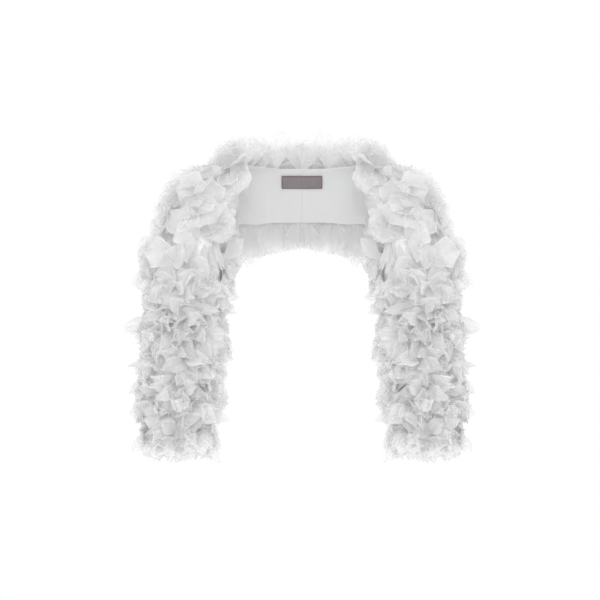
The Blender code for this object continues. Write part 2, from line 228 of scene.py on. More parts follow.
def makeRibbon():
    look = ribbonSet
    material, start, place, along, across = uvMaterial("label_ribbon")
    edge = (look["edgeWide"] * 0.8, look["edgeWide"] * 1.2)
    field = ((0.5 - (along - 0.5).size()) * look["width"]).between(*edge)
    field = field * ((0.5 - (across - 0.5).size()) * look["height"]).between(*edge)
    ribs = (across * (2 * math.pi * look["ribs"])).sine()
    warps = (along * (2 * math.pi * look["warps"])).sine()
    grain = place.noise(18.0, 5.0)
    cloth = (grain * 0.6 + across * 0.4 + ribs * 0.06).mix(look["field"], look["fieldLight"])
    bump = (ribs * 0.5 + ribs * warps * 0.3 + (1 - field) * 1.5).bump(0.6, 0.00012)
    given = {"Base Color": field.mix(look["edge"], cloth), "Roughness": 0.48 + grain * 0.15, "Normal": bump}
    given.update({"Specular IOR Level": 0.4, "Sheen Weight": 0.1})
    plainFinish(start, given)
    return material


# sewing thread: the UV runs along each stitch
threadSets = dict(
    white=dict(name="thread_white", dark=(0.70, 0.70, 0.70, 1), light=(0.86, 0.86, 0.86, 1)),
    brown=dict(name="thread_brown", dark=(0.13, 0.055, 0.05, 1), light=(0.24, 0.10, 0.09, 1)),
)


def makeThread(look):
    material, start, _, along, across = uvMaterial(look["name"])
    ply = ((along * 6 + across * 2) * (2 * math.pi)).sine() * 0.5 + 0.5
    given = {"Base Color": ply.mix(look["dark"], look["light"]), "Roughness": 0.5 + ply * 0.15}
    plainFinish(start, dict(given, Normal=ply.bump(0.7, 0.0001)))
    return material


organza = makeOrganza(organzaSet)
softOrganza = makeOrganza(softOrganzaSet)
liningSatin = makeWoven(liningSet)
baseCloth = makeWoven(baseSet)
labelRibbon = makeRibbon()
whiteThread = makeThread(threadSets["white"])
brownThread = makeThread(threadSets["brown"])
print("materials made")

# the garment's own sections, as the solids have them
# yoke: x, centre y, centre z, half depth, half height, hem angle, neck or front edge angle
yokeRows = np.array([
    (0.000, 0.0100, -0.100, 0.0800, 0.125, 84.5, 35.0),
    (0.045, 0.0100, -0.099, 0.0795, 0.119, 85.0, 31.0),
    (0.078, 0.0090, -0.095, 0.0775, 0.105, 88.0, 17.0),
    (0.094, 0.0080, -0.091, 0.0755, 0.097, 90.0, 0.0),
    (0.110, 0.0070, -0.085, 0.0730, 0.086, 94.0, -42.0),
    (0.127, 0.0055, -0.078, 0.0690, 0.071, 101.0, -78.0),
    (0.140, 0.0045, -0.072, 0.0640, 0.061, 109.0, -100.0),
    (0.150, 0.0040, -0.068, 0.0600, 0.054, 117.0, -117.0),
])
# sleeve: x, y, z, tilt, half width, half depth
sleeveRows = np.array([
    (0.1500, 0.004, -0.0680, 0.0, 0.054, 0.060),
    (0.1640, 0.004, -0.0790, 19.5, 0.054, 0.059),
    (0.1770, 0.004, -0.1000, 43.0, 0.053, 0.058),
    (0.1865, 0.003, -0.1270, 68.0, 0.053, 0.057),
    (0.1920, 0.003, -0.1625, 86.0, 0.054, 0.056),
    (0.1960, 0.002, -0.2210, 90.0, 0.054, 0.055),
    (0.2025, 0.000, -0.3060, 90.0, 0.052, 0.053),
    (0.2090, -0.004, -0.3910, 90.0, 0.050, 0.050),
    (0.2120, -0.009, -0.4680, 90.0, 0.046, 0.047),
])
clothThick = 0.0015
seamGap = 0.0003
neckPoint = 3
bodyMiddle = np.array([0.0, 0.0, -0.09])
armholeMiddle = sleeveRows[0, :3]
nearby = dict(run=0.003, turn=2, down=0.02, x=0.002, place=0.05)  # steps that find the cloth's directions


def unit(vectors):
    return vectors / np.linalg.norm(vectors, axis=-1, keepdims=True)


def runAlong(points):  # length along a line of points, or down each column of a grid
    steps = np.linalg.norm(np.diff(points, axis=0), axis=-1)
    return np.concatenate([np.zeros_like(steps[:1]), np.cumsum(steps, axis=0)])


def rowAt(rows, place):  # the table's columns at fractional rows, on a smooth curve
    place = np.asarray(place, float)
    padded = np.vstack([2 * rows[0] - rows[1], rows, 2 * rows[-1] - rows[-2]])
    low = np.clip(place.astype(int), 0, len(rows) - 2)
    t = (place - low)[..., None]
    before, start, end, after = (padded[low + k] for k in range(4))
    curve = 2 * start + (end - before) * t
    curve = curve + (2 * before - 5 * start + 4 * end - after) * t**2
    return (curve + (3 * start - before - 3 * end + after) * t**3) / 2


def yokePoint(side, place, degrees):
    row = rowAt(yokeRows, place)
    angle = np.radians(degrees)
    y = row[..., 1] + row[..., 3] * np.sin(angle)
    z = row[..., 2] + row[..., 4] * np.cos(angle)
    return np.stack([side * row[..., 0], y, z], axis=-1)


yokeSteps = np.linspace(0, len(yokeRows) - 1, 161)
yokeAcross = rowAt(yokeRows, yokeSteps)[:, 0]


def backPoint(x, down):  # down the back from the neck edge or shoulder seam (0) to the hem (1)
    place = np.interp(np.abs(x), yokeAcross, yokeSteps)
    row = rowAt(yokeRows, place)
    top = np.maximum(row[..., 6], np.degrees(seamGap / 2 / row[..., 3]))
    return yokePoint(np.where(x < 0, -1.0, 1.0), place, top + (row[..., 5] - top) * down)


def frontPoint(side, edgePlace, across):  # across from the front edge (0) to the armhole (1)
    edge = rowAt(yokeRows, edgePlace)
    last = len(yokeRows) - 1
    angle = np.minimum(edge[..., 6], -np.degrees(seamGap / 2 / edge[..., 3]))
    return yokePoint(side, edgePlace + (last - edgePlace) * across, angle)


def sleevePoint(side, place, degrees):  # 0 degrees is the outer line, 90 the back
    row = rowAt(sleeveRows, place)
    angle, tilt = np.radians(degrees), np.radians(row[..., 3])
    wide = row[..., 4] * np.cos(angle)
    x = row[..., 0] + np.sin(tilt) * wide
    z = row[..., 2] + np.cos(tilt) * wide
    return np.stack([side * x, row[..., 1] + row[..., 5] * np.sin(angle), z], axis=-1)


sleeveSteps = np.linspace(0, len(sleeveRows) - 1, 401)
sleeveRun = runAlong(sleevePoint(1, sleeveSteps, 0.0))


def sleeveSpot(side, run, degrees):  # run is the length down the outer line
    return sleevePoint(side, np.interp(run, sleeveRun, sleeveSteps), degrees)


def gridNormals(grid, inside, closed=False):
    down = np.gradient(grid, axis=0)
    across = np.roll(grid, -1, axis=1) - np.roll(grid, 1, axis=1) if closed else np.gradient(grid, axis=1)
    normals = unit(np.cross(across, down))
    middle = tuple(n // 2 for n in grid.shape[:2])
    return normals if np.dot(normals[middle], grid[middle] - inside) > 0 else -normals


def gridFaces(rows, columns, closed=False, first=0):
    index = first + np.arange(rows * columns).reshape(rows, columns)
    if closed:
        index = np.hstack([index, index[:, :1]])
    corners = [index[:-1, :-1], index[:-1, 1:], index[1:, 1:], index[1:, :-1]]
    return np.stack(corners, axis=-1).reshape(-1, 4)


bothSides = ((1, "left"), (-1, "right"))


def addPiece(name, points, faces, uvs, material):
    mesh = bpy.data.meshes.new(name)
    mesh.from_pydata(points.reshape(-1, 3).tolist(), [], faces.tolist())
    layer = mesh.uv_layers.new(name="UVMap")
    corners = np.empty(len(mesh.loops), np.int32)
    mesh.loops.foreach_get("vertex_index", corners)
    layer.data.foreach_set("uv", uvs.reshape(-1, 2)[corners].ravel())
    mesh.materials.append(material)
    mesh.shade_smooth()
    piece = bpy.data.objects.new(name, mesh)
    scene.collection.objects.link(piece)
    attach(piece, "root")
    return piece


def runningUv(grid):  # metres across and down the cloth
    down = np.linalg.norm(np.diff(grid, axis=0), axis=2).mean(axis=1)
    across = np.linalg.norm(np.diff(grid, axis=1), axis=2).mean(axis=0)
    v = np.concatenate([[0.0], np.cumsum(down)])
    u = np.concatenate([[0.0], np.cumsum(across)])
    return np.stack(np.meshgrid(u, v), axis=-1)


def clothPiece(name, nodes, inner, outer, material, closed=False, uvs=None):
    # two faces of cloth, joined by a narrow turned edge all round
    rows, columns = inner.shape[:2]
    index = np.arange(rows * columns).reshape(rows, columns)
    if closed:
        loops = [np.append(index[0], index[0, 0]), np.append(index[-1], index[-1, 0])[::-1]]
    else:
        ring = np.concatenate([index[0, :-1], index[:-1, -1], index[-1, :0:-1], index[:0:-1, 0]])
        loops = [np.append(ring, ring[0])]
    count = rows * columns
    faces = [gridFaces(rows, columns, closed), gridFaces(rows, columns, closed, count)[:, ::-1]]
    for loop in loops:
        faces.append(np.stack([loop[1:], loop[:-1], loop[:-1] + count, loop[1:] + count], axis=1))
    uvs = runningUv(inner) if uvs is None else uvs
    points = np.concatenate([inner.reshape(-1, 3), outer.reshape(-1, 3)])
    piece = addPiece(name, points, np.concatenate(faces), np.stack([uvs, uvs]), material)
    piece.data.set_sharp_from_angle(angle=math.radians(50))
    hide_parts(*nodes)


def softLines(along, across, lines):
    # folds as soft ridges or troughs: from, to, half width and height of each, in metres on the cloth
    relief = np.zeros_like(along)
    for startAlong, startAcross, endAlong, endAcross, wide, high in lines:
        a, b = endAlong - startAlong, endAcross - startAcross
        t = ((along - startAlong) * a + (across - startAcross) * b) / (a * a + b * b)
        t = np.clip(t, 0, 1)
        off = np.hypot(along - startAlong - t * a, across - startAcross - t * b)
        relief += high * np.exp(-((off / wide) ** 2)) * (0.3 + 0.7 * np.sin(np.pi * t))
    return relief


# petals grow in tufts: a few petals round one sewn spot
petalSet = dict(  # slack is the length of a petal to the distance that it spans
    grid=(12, 14), slack=1.03, pleats=(0.3, 1.0), kinkTurn=65, kinkPlace=0.5, turnStray=0.35,
)
petalKeys = (
    "length", "width", "leanRoot", "leanTip", "roll", "cup", "fold", "peak", "tipWide", "tipPower",
    "arc", "curl", "crease", "tooth", "ruffle", "tuck", "crumple", "droop", "skew", "shy", "kink",
    "gather",
)
towardsViewer = np.array([0.0, -1.0, 0.0])


def pick(dice, limits):
    return dice.uniform(limits[0], limits[1])


def mixStyles(low, high, share):
    style = {}
    for key, value in low.items():
        other = high.get(key, value)
        if isinstance(value, dict):
            style[key] = mixStyles(value, other, share)
        else:
            style[key] = tuple(a + (b - a) * share for a, b in zip(value, other))
    return style


def onePetal(dice, root, out, way, sag, style):
    # sag runs from 1 for a petal that points down to -1 for one that points up
    shift = sag * pick(dice, style["sag"])
    columns = petalSet["grid"][1] + 1
    petal = {key: pick(dice, style[key]) for key in petalKeys}
    petal.update(root=root, out=out, way=way)
    petal["leanRoot"] += shift
    petal["leanTip"] += shift
    aim = math.radians((petal["leanRoot"] + petal["leanTip"]) / 2)
    heading = out * math.cos(aim) + way * math.sin(aim)
    face = unit(np.cross(heading, np.cross(out, way)))
    sideways = -np.dot(np.cross(face, heading), towardsViewer)
    turn = math.degrees(math.atan2(sideways, np.dot(face, towardsViewer)))
    turn = (turn + 90) % 180 - 90
    petal["roll"] = petal["roll"] * dice.choice((-1, 1)) + turn * pick(dice, style["facing"])
    petal["pleats"] = dice.uniform(*petalSet["pleats"], columns) * np.resize((-1, 1), columns)
    petal["teeth"] = dice.uniform(0.0, 1.0, columns)
    petal["phases"] = dice.uniform(0, 2 * math.pi, 6)
    petal["edges"] = dice.uniform(-1, 1, 2)
    petal["kinkTurns"] = np.radians(dice.uniform(-petalSet["kinkTurn"], petalSet["kinkTurn"], 2))
    petal["kinkPlaces"] = dice.uniform(-petalSet["kinkPlace"], petalSet["kinkPlace"], 2)
    petal["thin"] = dice.uniform() < pick(dice, style["thin"])
    return petal


def aimPetal(dice, root, tip, style, width):  # from one place to another, with its face to the viewer
    aim = unit(tip - root)
    bend = unit(towardsViewer - aim * np.dot(aim, towardsViewer))
    petal = onePetal(dice, root, aim, bend, 0.0, style)
    petal["length"] = np.linalg.norm(tip - root) * petalSet["slack"]
    petal["width"] = width
    return petal


def growTuft(dice, root, out, down, style, fan=180.0, fanAt=0.0):
    # petals all round the spot, or in a fan about one heading, in degrees from straight down
    side = np.cross(out, down)
    tip = dice.uniform(0, 2 * math.pi)
    axis = unit(out + (down * math.cos(tip) + side * math.sin(tip)) * pick(dice, style["tilt"]))
    petals = []
    for layer in ("under", "over", "heart"):
        kind = dict(style, **style[layer])
        count = int(round(pick(dice, kind["count"])))
        start = dice.uniform(-1, 1) if fan >= 180 else 0.0
        base = root + out * pick(dice, kind["lift"])
        for k in range(count):
            stray = dice.uniform(-petalSet["turnStray"], petalSet["turnStray"])
            share = (k + 0.5 + stray) / count * 2 - 1 + start
            turn = math.radians(fanAt + fan * share)
            heading = down * math.cos(turn) + side * math.sin(turn)
            way = unit(heading - axis * np.dot(axis, heading))
            foot = base + way * pick(dice, kind["foot"])
            strewn = down * dice.uniform(-1, 1) + side * dice.uniform(-1, 1)
            foot = foot + strewn * pick(dice, kind["strew"])
            petals.append(onePetal(dice, foot, axis, way, math.cos(turn), kind))
    return petals


def petalPoints(petals):
    def column(key, spare=1):
        values = np.array([petal[key] for petal in petals])
        return values.reshape(values.shape + (1,) * spare)

    longways, sideways = petalSet["grid"]
    u = 1 - (1 - np.linspace(0, 1, longways + 1)[None, :]) ** 1.5  # closer rows towards the tip
    v = np.linspace(-1, 1, sideways + 1)[None, None, :]
    out, way = column("out", 0), column("way", 0)
    lean = column("leanRoot") + (column("leanTip") - column("leanRoot")) * u**1.2
    lean = np.radians(lean + column("curl") * np.clip((u - 0.6) / 0.4, 0, 1) ** 2)[..., None]
    heading = np.cos(lean) * out[:, None, :] + np.sin(lean) * way[:, None, :]
    heading = unit(heading + (column("droop") * u**2)[..., None] * np.array([0.0, 0.0, -1.0]))
    steps = (heading[:, 1:] + heading[:, :-1]) / 2 * (column("length") * np.diff(u))[..., None]
    middle = np.concatenate([np.zeros_like(steps[:, :1]), np.cumsum(steps, axis=1)], axis=1)
    middle = middle + column("root", 0)[:, None, :]
    face = unit(np.cross(heading, np.cross(out, way)[:, None, :]))
    side = np.cross(face, heading)
    roll = (np.radians(column("roll")) * u**0.8)[..., None]
    side, face = np.cos(roll) * side + np.sin(roll) * face, np.cos(roll) * face - np.sin(roll) * side

    rise = np.sin(np.pi / 2 * np.minimum(1, u / column("peak")))
    past = np.clip((u - column("peak")) / (1 - column("peak")), 0, 1)
    fall = 1 - (1 - column("tipWide")) * past ** column("tipPower")
    wide = (column("width") / 2 * (0.14 + 0.86 * rise) * fall)[..., None]
    u = u[..., None]
    phases = column("phases", 2)
    edges = column("edges", 0)[:, None, :]
    turned = np.where(v < 0, edges[..., :1], edges[..., 1:])
    ragged = 0.06 * np.sin(9 * u + phases[:, 0] + np.sign(v))
    across = wide * (v * (1 + ragged * np.abs(v)) + column("skew", 2) * edges[..., :1] * (1 - v**2) * u)
    relief = wide * (column("cup", 2) * v**2 + column("fold", 2) * np.sqrt(v**2 + 0.02))
    relief = relief + column("pleats", 0)[:, None, :] * column("crease", 2) * (0.3 + 0.7 * u**0.7)
    # soft folds from the root, waves at the edge, turned edges, crumples
    pleat = np.sin(5.5 * v + phases[:, 1]) + 0.6 * np.sin(9.5 * v + phases[:, 5] + 0.8 * u)
    relief = relief + column("gather", 2) * pleat * (0.2 + 0.8 * u)
    wave = np.abs(v) ** 2.5 * u * np.sin(11 * u + phases[:, 1] + 1.9 * np.sign(v))
    wave = wave + u**4 * (1 - v**2) * np.sin(4.5 * v + phases[:, 5]) * 0.8
    relief = relief + column("ruffle", 2) * wave
    relief = relief + wide * column("tuck", 2) * turned * np.abs(v) ** 3 * u
    crumple = np.sin(5.5 * u + 3.5 * v + phases[:, 2]) * np.sin(4.5 * u - 5.0 * v + phases[:, 3])
    relief = relief + column("crumple", 2) * crumple * u
    turns, places = column("kinkTurns", 2), column("kinkPlaces", 2)
    for k, sign in ((0, 1), (1, -1)):  # two sharp folds across the petal
        line = np.cos(turns[:, k]) * v + np.sin(turns[:, k]) * (2 * u - 1) - places[:, k]
        relief = relief + sign * column("kink", 2) * column("width", 2) / 2 * np.sqrt(line**2 + 0.003) * u
    shift = -column("arc", 2) * np.abs(v) ** 2.2 * u**3
    shift = shift - column("tooth", 2) * column("teeth", 0)[:, None, :] * u**6
    shift = (shift + 0.03 * np.sin(5 * v + phases[:, 4]) * u**4) * column("length", 2)
    points = middle[:, :, None, :] + heading[:, :, None, :] * shift[..., None]
    return points + side[:, :, None, :] * across[..., None] + face[:, :, None, :] * relief[..., None]


def petalPiece(name, petals, nodes, sides, material=organza):
    half = petalPoints(petals)
    one = gridFaces(*half.shape[1:3])
    points = np.concatenate([half * (side, 1, 1) for side in sides])
    count, rows, columns = points.shape[:3]
    first = (np.arange(count) * rows * columns).reshape(len(sides), -1, 1, 1)
    faces = [one[None, :, ::side] + start for side, start in zip(sides, first)]
    number = np.arange(count)[:, None, None]
    uvs = np.empty((count, rows, columns, 2))
    look = organzaSet
    margin = look["margin"]
    uvs[..., 0] = number % look["inRow"] + np.linspace(margin, 1 - margin, rows)[:, None]
    thin = np.tile([petal["thin"] for petal in petals], len(sides))[:, None, None]
    uvs[..., 1] = number // look["inRow"] + look["thinRow"] * thin + np.linspace(margin, 1 - margin, columns)
    faces = np.concatenate(faces).reshape(-1, 4)
    piece = addPiece(name, points, faces, uvs, material)
    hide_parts(*nodes)
    print(name, count, "petals,", len(faces) * 2, "triangles")


# broad, rounded petals on the shoulders and back; narrower, crumpled ones down the sleeves
shoulderStyle = dict(
    length=(0.050, 0.068), width=(0.040, 0.058), sag=(0, 7), roll=(0, 11), cup=(-0.03, 0.05),
    fold=(0.0, 0.06), peak=(0.60, 0.80), tipWide=(0.40, 0.75), tipPower=(2.0, 4.0), arc=(0.10, 0.24),
    curl=(-8, 10), crease=(0.0, 0.0002), tooth=(0.01, 0.06), ruffle=(0.0005, 0.002), tuck=(0.0, 0.2),
    crumple=(0.0003, 0.0010), droop=(0.0, 0.12), foot=(0.0, 0.004), strew=(0.0, 0.012), tilt=(0.0, 0.15),
    facing=(0.0, 0.0), skew=(0.0, 0.4), shy=(0.0, 0.014), kink=(0.0, 0.08), thin=(0.0, 0.3),
    gather=(0.0003, 0.0010),
    under=dict(
        count=(2, 3), lift=(0.0, 0.002), leanRoot=(64, 78), leanTip=(80, 92), width=(0.044, 0.062),
    ),
    over=dict(count=(4, 4), lift=(0.002, 0.006), leanRoot=(56, 72), leanTip=(74, 90)),
    heart=dict(
        count=(0, 1.2), lift=(0.003, 0.007), length=(0.034, 0.048), width=(0.026, 0.040),
        leanRoot=(38, 60), leanTip=(55, 84),
    ),
)
forearmStyle = dict(
    length=(0.042, 0.060), width=(0.020, 0.034), sag=(2, 14), roll=(0, 55), cup=(-0.08, 0.16),
    fold=(0.0, 0.45), peak=(0.40, 0.65), tipWide=(0.03, 0.30), tipPower=(1.2, 2.4), arc=(0.0, 0.10),
    curl=(-45, 45), crease=(0.0, 0.0003), tooth=(0.0, 0.08), ruffle=(0.001, 0.004), tuck=(0.1, 0.7),
    crumple=(0.0005, 0.0018), droop=(0.05, 0.30), foot=(0.0, 0.004), strew=(0.0, 0.013),
    tilt=(0.0, 0.25), facing=(0.0, 0.0), skew=(0.0, 0.6), shy=(0.0, 0.020), kink=(0.10, 0.45),
    thin=(0.0, 0.2), gather=(0.0003, 0.0012),
    under=dict(
        count=(5, 5), lift=(0.0, 0.002), leanRoot=(56, 70), leanTip=(72, 90), width=(0.030, 0.042),
    ),
    over=dict(count=(7, 8), lift=(0.002, 0.008), leanRoot=(26, 60), leanTip=(44, 86)),
    heart=dict(
        count=(1, 2), lift=(0.004, 0.008), length=(0.030, 0.046), width=(0.014, 0.026), leanRoot=(8, 36),
        leanTip=(20, 70),
    ),
)

fanOutSet = dict(
    less=dict(length=0.10, width=0.25, tipWide=0.7, tipPower=0.3), facing=(0.5, 1.0), thin=(0.05, 0.40),
    lean=dict(under=0, over=-8, heart=0), fewer=0.12,
)


def fanOut(style, share):  # towards the outline, petals are shorter, stand out more and show their faces
    fan = dict(style)
    for key, less in fanOutSet["less"].items():
        fan[key] = tuple(value * (1 - less * share) for value in style[key])
    for key in ("facing", "thin"):
        fan[key] = tuple(value * share for value in fanOutSet[key])
    for layer, turn in fanOutSet["lean"].items():
        kind = dict(style[layer])
        for key in ("leanRoot", "leanTip"):
            kind[key] = tuple(value + turn * share for value in kind[key])
        kind["count"] = tuple(value * (1 - fanOutSet["fewer"] * share) for value in kind["count"])
        fan[layer] = kind
    return fan


tipStyle = dict(  # single pointed petals at the outline
    forearmStyle, leanRoot=(-16, 4), leanTip=(-4, 20), curl=(-20, 25), tipWide=(0.05, 0.20),
    tipPower=(1.5, 2.4), arc=(0.0, 0.06), fold=(0.0, 0.3), droop=(0.0, 0.05), roll=(0, 25),
    thin=(0.4, 0.7),
)

# sleeve tufts go round in rings, closer or wider apart as the sleeve bends; flat tufts cover its outer side
sleeveSet = dict(
    ringStep=0.042, spacing=0.045, firstRing=0.012, lastRing=0.010, stray=0.009, turnStray=0.2,
    endGap=0.006, fullness=1.3, ringPoints=73, seed=17, shoulderEnd=0.13, forearmStart=0.24, fan=180.0,
    fanLess=50, cuffFan=100.0, cuffLength=(0.040, 0.050), rowPitch=0.045, firstRow=0.012, rowDrop=0.02,
    rowCount=11, foldRow=3, coverSeed=5, coverRuns=(0.030, 0.470, 0.032), coverTurns=(-24, 0, 24),
    coverStray=(0.008, 8), coverFan=120.0, tipDeep=(-0.008, 0.004), curlFoot=0.010,
    curlStand=(0.018, 0.030), veilLift=(0.002, 0.006),
)
# tips that stand out of the outline: x and z of the tip, z and degrees of the root, width; in millimetres
sleeveTips = [
    (291, -193, -176, -10, 24), (301, -270, -260, -5, 32), (295, -333, -328, -12, 13),
    (294, -379, -358, 5, 26), (293, -416, -398, -8, 24), (286, -474, -452, -10, 26),
    (106, -218, -204, 190, 22), (112, -243, -232, 184, 16), (119, -294, -284, 190, 18),
    (117, -322, -310, 186, 20), (124, -388, -372, 190, 20), (124, -427, -410, 186, 22),
    (136, -471, -452, 195, 22), (241, -496, -456, -45, 24), (211, -494, -456, -90, 22),
    (139, -494, -456, 205, 24), (262, -486, -452, -25, 22), (180, -490, -456, 240, 22),
]
broadStyle = dict(  # broad petals with ragged ends
    shoulderStyle, leanRoot=(-10, -2), leanTip=(0, 10), curl=(-8, 12), peak=(0.65, 0.85),
    tipWide=(0.45, 0.75), tipPower=(1.8, 3.5), arc=(0.08, 0.20), crease=(0.0001, 0.0004),
    tooth=(0.02, 0.08), droop=(0.0, 0.0), ruffle=(0.0003, 0.0012), crumple=(0.0003, 0.0010),
    kink=(0.04, 0.18), gather=(0.0003, 0.0009), fold=(0.0, 0.22),
)
foldStyle = dict(
    tipStyle, fold=(0.7, 1.1), tipWide=(0.2, 0.5), roll=(50, 80), droop=(0.0, 0.0), thin=(0.0, 0.0),
)
# narrow folded petals that hang at the underarm, where no tuft grows: root, tip, width, in millimetres
underarmFolds = [
    (166, -46, -108, 160, -58, -164, 12), (161, -44, -110, 154, -56, -174, 10),
    (157, -42, -108, 147, -56, -168, 11), (154, -40, -110, 141, -52, -177, 9),
    (151, -38, -108, 135, -52, -170, 11), (149, -36, -106, 129, -48, -166, 10),
]
underarmBare = dict(low=(0.128, -0.10, -0.176), high=(0.166, -0.026, -0.112))
curlStyle = dict(  # crumpled petals, sharply folded
    broadStyle, fold=(0.1, 0.6), tuck=(0.4, 1.1), kink=(0.15, 0.4), roll=(0, 35), peak=(0.45, 0.7),
    tipWide=(0.15, 0.5), tipPower=(1.4, 2.6), curl=(-40, 40), skew=(0.0, 0.7),
)
# crumpled petals that stand forward on the sleeve: root x and z, tip x and z, width, in millimetres
sleeveCurls = [
    (206, -267, 236, -311, 34), (223, -311, 236, -342, 9), (221, -311, 206, -338, 7),
    (194, -282, 151, -318, 30), (180, -320, 150, -355, 26), (201, -330, 177, -359, 22),
    (156, -386, 172, -416, 20), (214, -377, 192, -410, 32), (224, -372, 238, -415, 17),
    (236, -376, 279, -371, 20), (218, -411, 194, -437, 9), (177, -408, 197, -427, 16),
    (241, -447, 212, -416, 26), (201, -440, 206, -473, 22), (190, -228, 139, -241, 18),
    (197, -240, 170, -263, 22), (168, -265, 143, -250, 22), (226, -235, 211, -255, 15),
]
# broad petals that make the shoulder's outline: root x and z, tip x, y and z, width, in millimetres
shoulderFans = [
    (109, 0, 96, 22, 58, 40), (110, 0, 112, -8, 56, 42), (112, -2, 128, 20, 49, 44),
    (116, -6, 146, -14, 36, 44), (120, -14, 160, 12, 20, 40), (172, -46, 176, -26, 10, 44),
    (176, -50, 194, 6, 6, 44), (180, -54, 214, -24, -2, 46), (184, -60, 229, 10, -20, 46),
    (188, -68, 238, -28, -38, 44), (192, -76, 252, 8, -58, 46), (195, -86, 252, -30, -74, 40),
    (200, -112, 257, 6, -101, 44), (204, -124, 266, -26, -122, 44), (206, -134, 277, 10, -141, 46),
    (208, -150, 277, -28, -163, 42),
]
# rosettes on the front of the shoulder: middle x and z, each petal's tip x and z and width, in millimetres
rosettes = [
    ((105, 8), [(148, 31, 40), (136, 46, 38), (117, 53, 38), (99, 51, 36), (165, -3, 42), (153, -27, 46),
                (134, -48, 46), (116, -44, 42), (102, -34, 38)]),
    ((187, -42), [(218, -12, 44), (235, -31, 42), (243, -53, 42), (228, -73, 44), (202, -80, 44),
                  (178, -71, 40), (160, -51, 38), (163, -31, 40), (190, -7, 42)]),
    ((221, -97), [(252, -88, 42), (255, -109, 42), (246, -129, 40), (226, -136, 44), (202, -127, 42),
                  (190, -105, 42), (199, -83, 40), (228, -71, 40)]),
    ((241, -139), [(279, -131, 42), (280, -153, 42), (269, -173, 42), (246, -178, 42), (223, -167, 40),
                   (216, -143, 40), (233, -119, 38), (262, -116, 38)]),
    ((190, -139), [(214, -156, 42), (201, -177, 42), (182, -175, 36), (187, -114, 40), (211, -124, 40)]),
]
frontRosette = ((148, -78), [
    (173, -106, 40), (160, -112, 36), (143, -120, 42), (124, -108, 38), (114, -90, 42), (124, -66, 36),
    (140, -52, 38), (168, -60, 42), (182, -84, 44),
])
# sheer flat petals over the side of the lining: root x and z, tip x and z, width, in millimetres
shoulderVeils = [(104, 2, 95, -42, 32), (112, 0, 108, -48, 36)]
armholeVeils = [(140, -55, 106, -59, 36)]
veilStyle = dict(
    broadStyle, thin=(1.0, 1.0), kink=(0.0, 0.03), curl=(-2, 3), cup=(0.0, 0.02), fold=(0.0, 0.0),
    roll=(0, 5), gather=(0.0002, 0.0005), ruffle=(0.0002, 0.0006), tuck=(0.0, 0.05), tooth=(0.0, 0.03),
)
innerStyle = dict(
    broadStyle, kink=(0.08, 0.26), tuck=(0.0, 0.3), tipWide=(0.35, 0.7), roll=(0, 16), thin=(0.1, 0.4),
)
rosetteSet = dict(
    lift=(0.004, 0.010), innerLift=(0.006, 0.014), innerReach=(0.60, 0.95), innerWide=(0.60, 0.95),
    innerFoot=-0.3, foot=0.10, clear=0.002, mostBow=50.0, between=(0.2, 0.8),
)
plainStyle = dict(shoulderStyle)  # flat petals alone, under the rosettes
for layer in ("over", "heart"):
    plainStyle[layer] = dict(shoulderStyle[layer], count=(0, 0))
plainArea = dict(front=-0.020, low=-0.185)
# half of the outline from the front, x and z in millimetres: neck, outer side, cuff, inner side, hem
outlineHalf = np.array([
    (-5, 55), (14, 50), (27, 62), (41, 52), (54, 50), (68, 58), (82, 53), (95, 60), (109, 55), (121, 54),
    (135, 44), (148, 34), (158, 23), (174, 12), (210, 3), (220, -9), (227, -19), (232, -30), (239, -41),
    (249, -51), (254, -70), (250, -82), (246, -92), (258, -102), (254, -112), (265, -122), (270, -132),
    (278, -143), (278, -165), (291, -191), (280, -211), (277, -231), (279, -252), (302, -272),
    (292, -292), (280, -313), (298, -334), (286, -354), (294, -374), (293, -415), (281, -435),
    (278, -456), (287, -474), (262, -492), (242, -499), (226, -493), (211, -497), (196, -491),
    (180, -495), (160, -490), (139, -496), (136, -470), (137, -436), (124, -415), (119, -395),
    (127, -374), (118, -334), (116, -293), (120, -252), (109, -231), (108, -190), (102, -168),
    (84, -166), (68, -159), (54, -157), (41, -149), (27, -138), (14, -148), (-5, -147),
]) / 1000
# the part of the lining that the front petals leave open, one half, x and z in millimetres
openingHalf = np.array([
    (-5, 10), (90, 9), (87, -14), (93, -34), (109, -41), (126, -46), (133, -58), (126, -66), (114, -73),
    (110, -88), (-5, -88),
]) / 1000
# and the underarm, where only narrow folded petals hang
underarmHalf = np.array([(166, -116), (150, -124), (140, -131), (129, -122), (126, -176), (152, -178)]) / 1000
drawInSet = dict(
    passes=10, shorter=0.96, narrower=0.985, flatter=8.0, leanRoot=84.0, leanTip=91.0, liningFront=0.03,
    underarmFront=-0.032,
)


def insideShape(points, shape):
    x, z = points[..., 0], points[..., 2]
    crossings = np.zeros(x.shape, int)
    for (x0, z0), (x1, z1) in zip(shape, np.roll(shape, -1, axis=0)):
        if z0 != z1:
            meets = ((z0 > z) != (z1 > z)) & (x < (x1 - x0) * (z - z0) / (z1 - z0) + x0)
            crossings = crossings + meets
    return crossings % 2 == 1


def reachTooFar(petals):
    kept = np.array([petal["out"] * petal["shy"] for petal in petals])
    points = petalPoints(petals)
    shown = points + kept[:, None, None, :]
    beyond = ~insideShape(shown, outlineHalf) & (shown[..., 0] > 0)
    over = insideShape(points, openingHalf) & (points[..., 1] < drawInSet["liningFront"])
    low = insideShape(points, underarmHalf) & (points[..., 1] < drawInSet["underarmFront"])
    return (beyond | over | low).any(axis=(1, 2))


